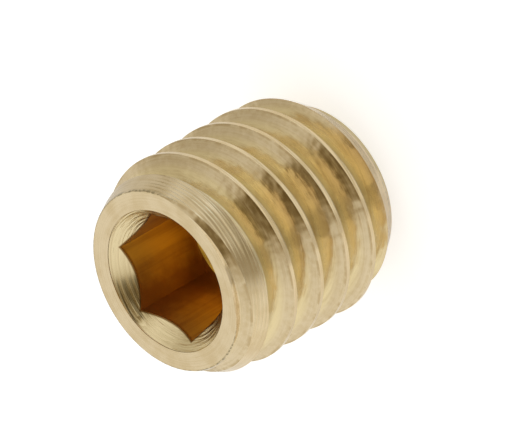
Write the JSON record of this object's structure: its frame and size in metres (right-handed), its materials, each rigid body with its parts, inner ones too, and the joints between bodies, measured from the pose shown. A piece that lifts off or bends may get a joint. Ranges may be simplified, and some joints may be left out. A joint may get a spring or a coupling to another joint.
{
  "type": "hexagon socket set screw",
  "caption": "Short brass adjusting screw, threaded over its whole length, with a hexagon socket in one end and a flat chamfered point at the other.",
  "frame": {"origin": "centre of the flat point, on the surface the screw stands on", "axes": "+Z along the screw's axis from the point to the socket; +X through one corner of the hexagon socket"},
  "size_m": [0.0059, 0.0058, 0.006],
  "materials": {
    "brass": "bare turned brass, bright on the crests and duller in the thread groove and the socket"
  },
  "bodies": {
    "root": {"adjusting_screw": "brass"}
  },
  "joints": []
}
